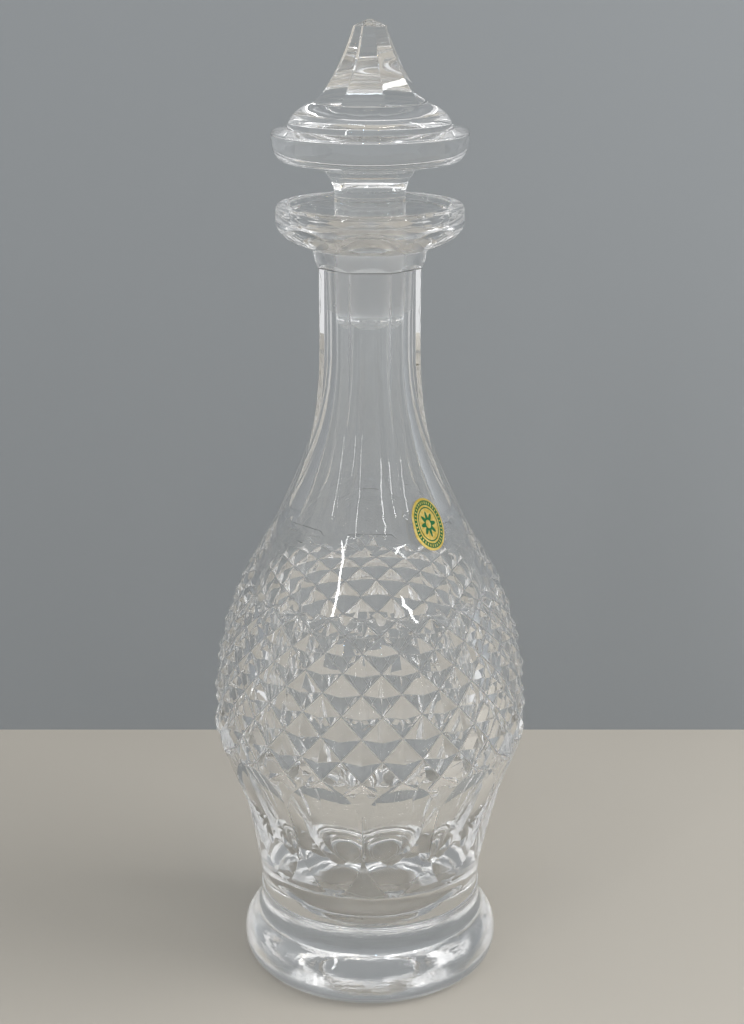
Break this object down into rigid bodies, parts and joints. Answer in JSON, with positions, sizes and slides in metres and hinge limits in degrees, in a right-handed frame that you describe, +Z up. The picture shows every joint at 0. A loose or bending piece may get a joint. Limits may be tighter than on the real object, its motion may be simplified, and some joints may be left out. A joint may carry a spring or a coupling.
{
  "type": "glass decanter",
  "caption": "Tall cut crystal decanter with a diamond band, fluted neck, dished lip, spreading foot and a ground spire stopper that lifts out.",
  "frame": {"origin": "centre of the flat ring that the foot stands on", "axes": "+Z up along the decanter's own axis, -Y towards the viewer of the front flat of the neck, +X to the right of that view"},
  "size_m": [0.1096, 0.1096, 0.33],
  "materials": {
    "decanter": "polished lead crystal",
    "stopper": "polished lead crystal",
    "foil_seal": "thin gold and green foil"
  },
  "bodies": {
    "root": {"decanter": "decanter", "foil_seal": "foil_seal"},
    "stopper": {"stopper": "stopper"}
  },
  "joints": [
    {"name": "stopper_lift", "type": "slide", "parent": "root", "child": "stopper", "axis": [0, 0, 1], "range_m": [0, 0.07]}
  ]
}
